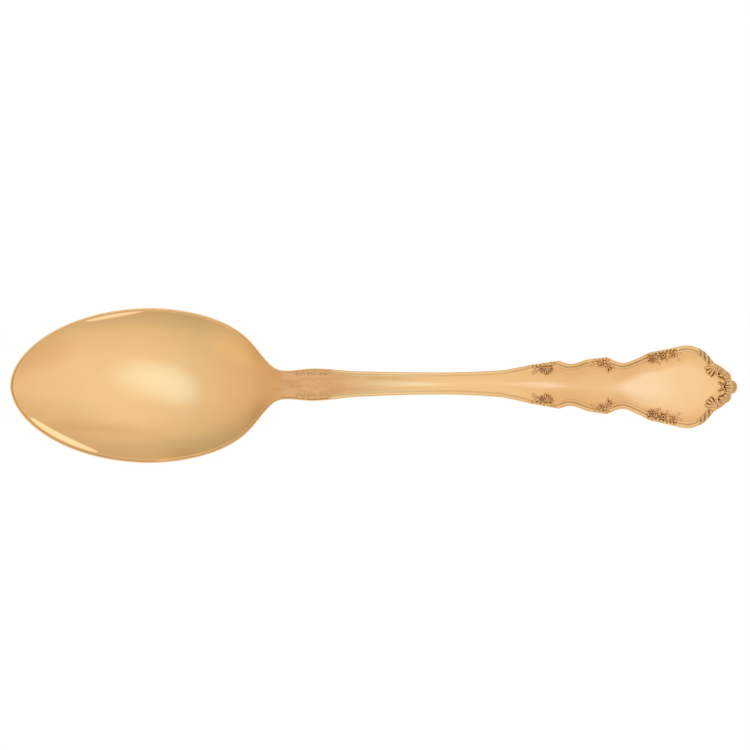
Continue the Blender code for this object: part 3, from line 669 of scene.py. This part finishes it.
def struck(name, along, across, shapes, overhang=-0.05, ground=0.05, mellow=0.48, haze=0.0, depth=0.6):
    """Relief raised over the handle's front, trimmed at its outline, as a closed piece let into the metal."""
    ground_reach = 0.4
    crease_reach = 0.45
    proud_reach = 0.25
    brown_depth = 0.14
    trim_slope = 3
    s_line = np.arange(along[0], along[1], GRAIN)
    y_line = np.arange(across[0], across[1], GRAIN)
    s, y = np.meshgrid(s_line, y_line)
    raised = np.maximum.reduce([shape(s, y) for shape in shapes])
    covered = (raised > 0.02).astype(float)
    near = np.clip((softened(covered, ground_reach) - 0.2) / 0.22, 0, 1)
    lift = np.maximum(raised, (ground + RELIEF_DIP) * near - RELIEF_DIP)
    within = trim_slope * (end_width(s) + overhang - np.abs(y))
    lift = np.maximum(np.minimum(lift, within), -RELIEF_DIP)
    among = np.clip((softened(covered, crease_reach) - 0.32) / 0.36, 0, 1)
    proud = lift - softened(lift, proud_reach)
    low = np.clip((ground + 0.07 - lift) / 0.06, 0, 1)
    tarnish_and_shade = np.maximum(among * np.maximum(np.clip(mellow - proud / brown_depth, 0, 1), low), haze)

    bpy.ops.object.select_all(action="DESELECT")
    bpy.ops.mesh.primitive_grid_add(x_subdivisions=len(s_line) - 1, y_subdivisions=len(y_line) - 1, size=1)
    piece = bpy.context.object
    piece.name = name
    mesh = piece.data
    mesh.vertices.foreach_set("co", np.stack([s, y, front(s, y) + lift], axis=-1).ravel())
    mark = mesh.attributes.new("tarnish_and_shade", "FLOAT", "POINT")
    mark.data.foreach_set("value", tarnish_and_shade.ravel())
    shown = np.maximum.reduce([lift[:-1, :-1], lift[:-1, 1:], lift[1:, :-1], lift[1:, 1:]]) > CUT_OFF
    # Squares that touch only at a corner are joined, so that the piece closes
    for _ in range(3):
        quarters = shown[:-1, :-1], shown[:-1, 1:], shown[1:, :-1], shown[1:, 1:]
        pinched = (quarters[0] == quarters[3]) & (quarters[1] == quarters[2]) & (quarters[0] != quarters[1])
        for quarter in quarters:
            quarter |= pinched
    mesh.vertices.foreach_set("select", np.zeros(len(mesh.vertices), bool))
    mesh.edges.foreach_set("select", np.zeros(len(mesh.edges), bool))
    mesh.polygons.foreach_set("select", ~shown.ravel())
    bpy.context.tool_settings.mesh_select_mode = (False, False, True)
    bpy.ops.object.mode_set(mode="EDIT")
    bpy.ops.mesh.delete(type="FACE")
    bpy.ops.mesh.select_all(action="SELECT")
    bpy.ops.mesh.extrude_region_move(TRANSFORM_OT_translate={"value": (0, 0, -depth)})
    bpy.ops.mesh.select_all(action="SELECT")
    bpy.ops.mesh.normals_make_consistent(inside=False)
    bpy.ops.object.mode_set(mode="OBJECT")
    return piece


def both_sides(name, slot, material, *arguments, **options):
    """A struck relief on the right side of the handle and its twin on the left."""
    right = struck(f"gilt_{name}_right", *arguments, **options)
    left = mirrored(right, f"gilt_{name}_left")
    finish_piece(right, material, slot, f"{name}_right")
    finish_piece(left, material, slot, f"{name}_left")


struck_gilt = gilt("struck_gold_plate", "#F6D09A", "#EDC187", "#96683A", 0.2, 0.5, (0.6, 0.6, 0.6))

lower_spray = [
    *beads(132.1, 138.9, 0.5, 0.76, 0.2),
    leaf((134.0, 3.45), 202, 2.4, 1.1, 0.26, bend=0.14, teeth=4),
    leaf((133.8, 4.2), 176, 1.8, 0.8, 0.26, bend=-0.1, teeth=3),
    *rose((135.2, 3.85), 1.25, 0.54, 10),
    *fan((136.0, 4.3), 0, -88, 5, 2.5, 0.54, 0.38, bend=-0.12),
    leaf((136.6, 4.95), 12, 2.3, 0.85, 0.38, bend=0.05, teeth=4)]
both_sides("lower_rose_spray", "struck_gilt", struck_gilt, (130.6, 140.6), (1.4, 6.7), lower_spray)

middle_spray = [
    *beads(148.2, 152.2, 0.5, 0.76, 0.2),
    ridge([(146.0, 6.0), (146.9, 5.95), (147.7, 5.55), (148.0, 5.0), (147.5, 4.75)], 0.6, 0.32),
    leaf((149.5, 5.75), 180, 2.1, 0.95, 0.36, bend=0.1, teeth=4),
    leaf((149.8, 5.0), 214, 1.5, 0.65, 0.34, teeth=3),
    *blossom((150.5, 5.5), 1.1, 0.52, 40), leaf((151.2, 6.3), 20, 1.6, 0.6, 0.34),
    *fan((151.3, 5.4), 6, -72, 4, 2.9, 0.62, 0.38, bend=-0.08)]
both_sides("middle_rose_spray", "struck_gilt", struck_gilt, (145.2, 155.2), (2.4, 7.8), middle_spray)

upper_spray = [
    *beads(161.6, 170.6, 0.5, 0.76, 0.2),
    leaf((162.5, 6.7), 196, 2.2, 1.0, 0.28, bend=-0.12, teeth=4),
    leaf((162.3, 7.4), 168, 1.6, 0.75, 0.34, teeth=3),
    *rose((163.3, 7.05), 1.4, 0.60, 30),
    leaf((164.3, 7.8), 42, 1.3, 0.62, 0.36), leaf((164.5, 7.1), 6, 1.3, 0.62, 0.36),
    leaf((164.2, 6.3), -32, 1.6, 0.72, 0.36, bend=-0.1, teeth=3),
    *rosette((166.0, 7.85), 0.95, 0.48),
    leaf((166.0, 6.95), 232, 1.2, 0.52, 0.32), leaf((166.5, 7.0), -48, 1.4, 0.6, 0.34, bend=-0.1, teeth=3),
    leaf((166.9, 7.4), -12, 1.2, 0.56, 0.34), leaf((166.9, 8.5), 26, 1.1, 0.6, 0.34),
    *blossom((168.6, 8.2), 1.15, 0.54, 54),
    leaf((169.2, 7.3), -30, 1.7, 0.74, 0.22, bend=0.14, teeth=4),
    leaf((169.6, 8.3), 4, 1.6, 0.78, 0.22, teeth=3),
    leaf((169.3, 9.1), 22, 1.4, 0.6, 0.24)]
both_sides("upper_rose_spray", "struck_gilt", struck_gilt, (159.4, 172.4), (4.6, 10.6), upper_spray)

# Neck sprays: a low chain of small leaves of gold-plated brass, struck and soldered on each side of the
# collar behind the bowl, and worn almost smooth by the polishing, so that their creases show most.

neck_spray = [ridge([(72.4, 2.75), (75.0, 3.0), (78.0, 3.05), (81.8, 2.6)], 0.3, 0.08)]
for k, station in enumerate(np.arange(72.8, 81.8, 1.5)):
    swing = 34 if k % 2 else -34
    root = (station, 2.8 + 0.1 * math.sin(k))
    neck_spray += [leaf(root, swing, 1.4, 0.62, 0.2, bend=0.1), petal(root, swing, 1.0, 0.8, 0.2, cup=1.3)]
both_sides("neck_spray", "struck_gilt", struck_gilt, (71.6, 83.6), (1.4, 4.2), neck_spray, ground=0.0,
           mellow=0.4, haze=0.3, depth=0.5)

# Crest: fluted leaves that curl beside the notch, plain lobes that follow the outline, and a shell of small
# scrolls round a bead on the middle line, all of gold-plated brass, struck and soldered on the handle's end.


def flute(at, toward, length, width, height, bend=0.0):
    """A plain lobe that widens from its root to a round end."""

    def relief(s, y):
        along, across = turned(s, y, at, toward)
        along = along / length
        across = across - bend * length * np.clip(along, 0, 1) ** 2
        half = width / 2 * (0.45 + 0.55 * np.clip(along, 0, 1))
        ends = (np.maximum(along - 0.6, 0) / 0.4) ** 2 + (np.maximum(-along, 0) / 0.15) ** 2
        return dome(1 - (across / half) ** 2 - ends, height)

    return relief


crest_leaf = [flute((179.3, 4.85), toward, length, width, 0.46, bend=0.12)
              for toward, length, width in ((176, 2.8, 1.15), (203, 2.8, 1.15), (231, 2.6, 1.15))]
crest_leaf.append(ridge([(179.5, 5.4), (179.6, 4.6), (179.4, 3.6), (178.9, 2.8), (178.3, 2.4)], 0.5, 0.46))
both_sides("crest_leaf", "struck_gilt", struck_gilt, (175.6, 180.6), (1.0, 6.4), crest_leaf)

CREST_DEPTH = 1.2
CREST_BAND = [*along_edge(np.linspace(179.3, corner_at, 10), 1.0).T, (182.7, 2.0), (182.9, 1.0)]
crest_bud = [ridge(CREST_BAND, 2.1, 0.40, taper=0.1)]
LOBE_LENGTH = 1.75
for station, toward, width in ((179.75, 64, 1.2), (180.7, 58, 1.2), (181.75, 50, 1.2), (182.5, 40, 1.1)):
    tip = along_edge(station, 0.15)
    root = tip - LOBE_LENGTH * np.array([math.cos(math.radians(toward)), math.sin(math.radians(toward))])
    crest_bud.append(flute(root, toward, LOBE_LENGTH, width, 0.56))
crest_bud += [flute((181.9, 1.45), 18, 1.6, 1.1, 0.54), curl((180.45, 3.3), 0.75, 110, 1.05, 0.4, 0.54),
              ridge([(180.2, 2.3), (180.8, 2.0), (181.3, 1.9)], 0.45, 0.46)]
both_sides("crest_bud", "struck_gilt", struck_gilt, (178.8, 184.4), (0.7, 6.4), crest_bud, overhang=0.0,
           depth=CREST_DEPTH)

crest_shell = [petal((181.2, 0.0), 0, 0.8, 0.8, 0.54), petal((182.7, 0.0), 0, 2.0, 2.4, 0.42),
               flute((181.9, 0.0), 0, 1.5, 0.8, 0.56)]
for side in (1, -1):
    crest_shell += [curl((181.4, 0.85 * side), 0.55, 200 * side, 0.9 * side, 0.34, 0.5),
                    flute((182.0, 0.4 * side), 26 * side, 1.4, 0.7, 0.54),
                    leaf((180.9, 0.5 * side), 180 - 24 * side, 1.3, 0.5, 0.34),
                    leaf((181.0, 1.2 * side), 180 - 8 * side, 1.3, 0.5, 0.34)]
shell = struck("gilt_crest_shell", (179.0, 184.0), (-2.4, 2.4), crest_shell, depth=CREST_DEPTH)
finish_piece(shell, struck_gilt, "struck_gilt", "crest_shell")

# Finial: a small three-lobed bud of gold-plated brass that closes off the very end, soldered to the blade
# under the shell and polished smooth, with a little tarnish between its lobes.

FINIAL_CENTRE = (183.38, 0.0, 1.52)
FINIAL_HALF = (1.6, 1.8, 1.5)
LOBE_SPREAD = math.radians(55)
LOBE_DEPTH = 0.05
FINIAL_TARNISH = 0.32
FINIAL_CREASES = 0.4
bpy.ops.object.select_all(action="DESELECT")
bpy.ops.mesh.primitive_uv_sphere_add(segments=96, ring_count=48, radius=1)
finial = bpy.context.object
finial.name = "gilt_finial"
points = np.empty(3 * len(finial.data.vertices))
finial.data.vertices.foreach_get("co", points)
points = points.reshape(-1, 3)
swing = np.arctan2(points[:, 1], points[:, 0])
flat = np.hypot(points[:, 0], points[:, 1])
lobed = np.sin(math.pi * np.clip(swing / LOBE_SPREAD, -1.5, 1.5)) ** 2 * flat**1.5
points = points * (1 - LOBE_DEPTH * lobed)[:, None]
points = points * FINIAL_HALF + FINIAL_CENTRE
finial.data.vertices.foreach_set("co", points.ravel())
mark = finial.data.attributes.new("tarnish_and_shade", "FLOAT", "POINT")
mark.data.foreach_set("value", np.clip(FINIAL_TARNISH + FINIAL_CREASES * lobed**2, 0, 1))
finish_piece(finial, moulded_gilt, "moulded_gilt", "finial")

# Floor, light and camera: a white table under a soft overhead panel beside the camera, a row of small
# gridded softboxes aimed at the handle's end, and low strips, in a pale room, dimmer near the horizon.

FLOOR_SIZE = 8.0
WHITE_SHARE = 0.92
WHITE_LEVEL = 1.03
bpy.ops.object.select_all(action="DESELECT")
bpy.ops.mesh.primitive_plane_add(size=FLOOR_SIZE, location=(0, 0, 0))
floor = bpy.context.object
floor.name = "white_table"
paint = bpy.data.materials.new("white_matt_paint")
paint.use_nodes = True
tree = paint.node_tree
tree.nodes.clear()
ray = node(tree, "ShaderNodeLightPath")
seen = node(tree, "ShaderNodeMath", {"operation": "MAXIMUM"}, _0=ray.outputs["Is Camera Ray"],
            _1=ray.outputs["Is Glossy Ray"])
seen = node(tree, "ShaderNodeMath", {"operation": "MAXIMUM"}, _0=seen.outputs[0],
            _1=ray.outputs["Is Transmission Ray"])
share = node(tree, "ShaderNodeMath", {"operation": "MULTIPLY"}, _0=seen.outputs[0], _1=WHITE_SHARE)
matt = node(tree, "ShaderNodeBsdfDiffuse", Color=linear("#F6F6F5"))
white = node(tree, "ShaderNodeEmission", Color=linear("#FFFFFF"), Strength=WHITE_LEVEL)
mixed = node(tree, "ShaderNodeMixShader", _0=share.outputs[0], _1=matt.outputs[0], _2=white.outputs[0])
node(tree, "ShaderNodeOutputMaterial", Surface=mixed.outputs[0])
floor.data.materials.append(paint)

room = bpy.data.worlds.new("pale_room")
bpy.context.scene.world = room
room.use_nodes = True
tree = room.node_tree
tree.nodes.clear()
bearing = node(tree, "ShaderNodeTexCoord").outputs["Generated"]
direction = node(tree, "ShaderNodeSeparateXYZ", Vector=bearing)


def ramp_of(value, stops):
    """A smooth run of colours over a value, from places and hex colours."""
    made = node(tree, "ShaderNodeValToRGB", Fac=value)
    elements = made.color_ramp.elements
    while len(elements) < len(stops):
        elements.new(0.5)
    for element, (position, colour) in zip(elements, stops):
        element.position, element.color = position, linear(colour)
    return made.outputs["Color"]


# The walls from the table's level up to straight overhead, and from the bowl's end to the handle's
height = ramp_of(direction.outputs["Z"], [
    (0.0, "#D0C2A8"), (0.1, "#D6CBB8"), (0.22, "#DED7CA"), (0.36, "#F0E7D6"), (0.55, "#F7EEE0"),
    (0.73, "#FCF5EB"), (1.0, "#FEF8F0")])
sideways = node(tree, "ShaderNodeMapRange", Value=direction.outputs["X"], From_Min=-1.0, From_Max=1.0)
length = ramp_of(sideways.outputs["Result"], [
    (0.0, "#F3E9DF"), (0.30, "#F3F5F7"), (0.5, "#FFFFFF"), (0.68, "#FFFFFF"), (1.0, "#F6F2EC")])
room_light = node(tree, "ShaderNodeMix", {"data_type": "RGBA", "blend_type": "MULTIPLY"}, _0=1.0,
                  _6=height, _7=length)

# Dim and bright places of the room: their directions, how they act, and how they fade in from plain wall
PLACES = (
    ((0.26, 0.93, 0.26), "MULTIPLY", (0.91, "#FFFFFF"), (0.99, "#EFEBE8")),
    ((0.50, 0.60, 0.62), "MULTIPLY", (0.93, "#FFFFFF"), (0.99, "#F7F7F9")),
    ((0.77, -0.55, 0.32), "MULTIPLY", (0.86, "#FFFFFF"), (0.966, "#F6F0F1")),
    ((-0.76, -0.64, 0.08), "ADD", (0.86, "#000000"), (0.98, "#66552E")),
    ((0.17, 0.975, 0.12), "ADD", (0.93, "#000000"), (0.985, "#5F5F64")),
)
for toward, action, edge, middle in PLACES:
    nearness = node(tree, "ShaderNodeVectorMath", {"operation": "DOT_PRODUCT"}, _0=bearing, _1=toward)
    place = ramp_of(nearness.outputs["Value"], [edge, middle])
    room_light = node(tree, "ShaderNodeMix", {"data_type": "RGBA", "blend_type": action}, _0=1.0,
                      _6=room_light.outputs[2], _7=place)
sky = node(tree, "ShaderNodeBackground", Color=room_light.outputs[2], Strength=1.0)
node(tree, "ShaderNodeOutputWorld", Surface=sky.outputs[0])

PANEL_CENTRE = (-0.155, -0.02, 0.5)
PANEL_HALF = (0.25, 0.49)
PANEL_TURN = math.radians(20)
PANEL_GLOW = 0.5
bpy.ops.object.select_all(action="DESELECT")
bpy.ops.mesh.primitive_grid_add(x_subdivisions=4, y_subdivisions=4, size=2)
panel = bpy.context.object
panel.name = "soft_overhead_panel"
panel.scale = (PANEL_HALF[0], PANEL_HALF[1], 1)
panel.location = PANEL_CENTRE
panel.rotation_euler.z = PANEL_TURN
bpy.ops.object.transform_apply(location=True, rotation=True, scale=True)
panel.visible_camera = False
panel.visible_shadow = False
glow = bpy.data.materials.new("diffuser_cloth")
glow.use_nodes = True
tree = glow.node_tree
tree.nodes.clear()
spot = node(tree, "ShaderNodeMapping", {"vector_type": "TEXTURE"},
            Vector=node(tree, "ShaderNodeTexCoord").outputs["Object"], Location=PANEL_CENTRE,
            Rotation=(0, 0, PANEL_TURN), Scale=(*PANEL_HALF, 1))
away = node(tree, "ShaderNodeVectorMath", {"operation": "LENGTH"}, Vector=spot.outputs["Vector"])
fade = node(tree, "ShaderNodeMapRange", {"interpolation_type": "SMOOTHERSTEP"}, Value=away.outputs["Value"],
            From_Min=0.1, From_Max=1.0, To_Min=PANEL_GLOW, To_Max=0.0)
lit = node(tree, "ShaderNodeEmission", Color=linear("#89CBFF"), Strength=fade.outputs["Result"])
clear = node(tree, "ShaderNodeBsdfTransparent")
both = node(tree, "ShaderNodeAddShader", _0=lit.outputs[0], _1=clear.outputs[0])
node(tree, "ShaderNodeOutputMaterial", Surface=both.outputs[0])
panel.data.materials.append(glow)


def softbox(name, centre, aim, size, radiance, colour, spread=180, roll=0.0, shape="RECTANGLE"):
    """A flat lamp, so wide and so high, that adds the given brightness, 1 being white, to what mirrors it."""
    lamp = bpy.data.lights.new(name, "AREA")
    lamp.shape = shape
    lamp.size, lamp.size_y = size
    lamp.energy = radiance * math.pi * size[0] * size[1]
    lamp.color = linear(colour)[:3]
    lamp.spread = math.radians(spread)
    stand = bpy.data.objects.new(name, lamp)
    bpy.context.scene.collection.objects.link(stand)
    stand.location = centre
    facing = (Vector(centre) - Vector(aim)).to_track_quat("Z", "Y").to_matrix()
    stand.rotation_euler = (facing @ Matrix.Rotation(math.radians(roll), 3, "Z")).to_euler()
    stand.visible_camera = False


# The gridded row: how far its lamps lean off straight overhead, seen from the place on the blade that each
# is aimed at, with their half lengths and brightness. Each is split across in three or four, so that its
# light holds up to its ends. A grid gathers the light into a narrow beam, so a small figure is bright.
ROW_HEIGHT = 0.5
ROW_MIDDLE = 0.018
ROW_LEAN = (0.24, 0.32, 0.42, 0.52, 0.61, 0.70, 0.73, 0.77, 0.805, 0.842)
ROW_HALF = (0.066, 0.068, 0.076, 0.0685, 0.061, 0.0655, 0.0575, 0.044, 0.032, 0.006)
ROW_LIGHT = (0.2, 0.3, 0.46, 0.84, 1.03, 1.15, 1.2, 1.2, 1.2, 1.2)
ROW_COUNT = 24
ROW_GLOW = 0.00121
MIDDLE_SHARE = 1.03
SIDE_SLOPE = 0.13
END_FALL = 0.5
LAMP_DEPTH = 0.03
GRID_SPREAD = 16
BLADE_HEIGHT = 0.006
SEEN_AT = 0.065
SEEN_LEAN = 0.75
SEEN_RUN = 0.034
for k, lean in enumerate(np.linspace(ROW_LEAN[0], ROW_LEAN[-1], ROW_COUNT)):
    seen_at = SEEN_AT + (SEEN_LEAN - lean) * SEEN_RUN
    half = float(np.interp(lean, ROW_LEAN, ROW_HALF))
    light = float(np.interp(lean, ROW_LEAN, ROW_LIGHT))
    parts = 3 + k % 2
    for part in range(parts):
        across = (2 * part + 1) / parts - 1
        centre = (seen_at + ROW_HEIGHT * lean, ROW_MIDDLE + half * across, ROW_HEIGHT)
        brightness = ROW_GLOW * light * (MIDDLE_SHARE + SIDE_SLOPE * across - END_FALL * across**2)
        softbox(f"gridded_softbox_{k}_{part}", centre, (seen_at, 0, BLADE_HEIGHT),
                (2 * half / parts, LAMP_DEPTH), brightness, "#8DAEFF", spread=GRID_SPREAD)

# Two low strips, which the bowl mirrors as thin crescents inside its rim
softbox("low_strip", (0.70, 2.6, 0.41), (-0.08, 2.6, 0.0), (3.5, 0.14), 0.66, "#D2E0F4", roll=-2.6,
        shape="ELLIPSE")
softbox("far_strip", (0.32, -3.0, 0.465), (-0.067, 0.0, 0.01), (0.9, 0.14), 0.5, "#EBEBFF", roll=18,
        shape="ELLIPSE")

FRAME_WIDTH = 191.04 * MM
DISTANCE = 3.0
TILT = math.radians(3.0)
TARGET = Vector((0.22 * MM, 3.15 * MM, 0.0))
camera = bpy.data.cameras.new("overhead_camera")
camera.sensor_width = 36.0
camera.lens = camera.sensor_width * DISTANCE / FRAME_WIDTH
tripod = bpy.data.objects.new("overhead_camera", camera)
bpy.context.scene.collection.objects.link(tripod)
tripod.location = TARGET + DISTANCE * Vector((0, -math.sin(TILT), math.cos(TILT)))
tripod.rotation_euler = (TILT, 0, 0)
bpy.context.scene.camera = tripod
bpy.context.scene.view_settings.view_transform = "Standard"
